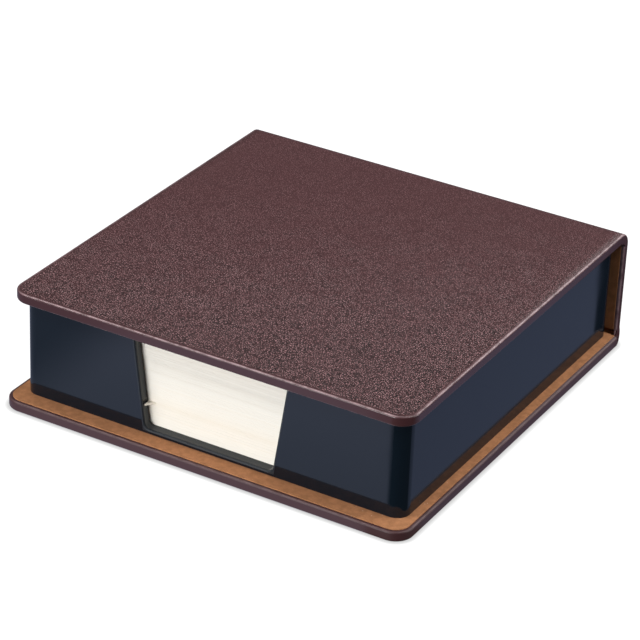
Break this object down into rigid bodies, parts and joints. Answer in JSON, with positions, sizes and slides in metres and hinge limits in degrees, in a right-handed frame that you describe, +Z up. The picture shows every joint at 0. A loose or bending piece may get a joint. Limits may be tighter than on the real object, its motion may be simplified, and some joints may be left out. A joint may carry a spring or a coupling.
{
  "type": "memo sheet box with book-style cover",
  "caption": "Square memo sheet box bound like a book: leatherette cover with a hinged spine and lid over a moulded tray with a thumb notch, holding loose sheets.",
  "frame": {"origin": "centre of the box's outline, at the underside that rests on the desk", "axes": "+Z up; +X to the right along the front; +Y from the thumb notch towards the spine"},
  "size_m": [0.105, 0.1098, 0.0296],
  "materials": {
    "leatherette": "pebble grain, satin sheen",
    "greyboard": "bare board",
    "lining": "matt suede paper",
    "tray": "moulded, gloss",
    "memo_paper": "uncoated, cut edges",
    "tape": "clear double-sided tape"
  },
  "bodies": {
    "base": {"base_board": "greyboard", "base_cover": "leatherette", "base_lining": "lining", "tray": "tray", "tray_tape_left": "tape", "tray_tape_middle": "tape", "tray_tape_right": "tape", "sheets_lower": "memo_paper", "sheets_loose": "memo_paper", "sheets_upper": "memo_paper", "lower_hinge_cover": "leatherette", "lower_hinge_lining": "lining"},
    "spine": {"spine_board": "greyboard", "spine_cover": "leatherette", "spine_lining": "lining", "upper_hinge_cover": "leatherette", "upper_hinge_lining": "lining"},
    "lid": {"lid_board": "greyboard", "lid_cover": "leatherette", "lid_lining": "lining"}
  },
  "joints": [
    {"name": "spine_hinge", "type": "hinge", "parent": "base", "child": "spine", "pos_m": [0, 0.05388, 0.00097], "axis": [-1, 0, 0], "range_deg": [0, 90], "deforming": ["lower_hinge_cover", "lower_hinge_lining"]},
    {"name": "lid_hinge", "type": "hinge", "parent": "spine", "child": "lid", "pos_m": [0, 0.05388, 0.02863], "axis": [-1, 0, 0], "range_deg": [0, 90], "deforming": ["upper_hinge_cover", "upper_hinge_lining"]}
  ]
}
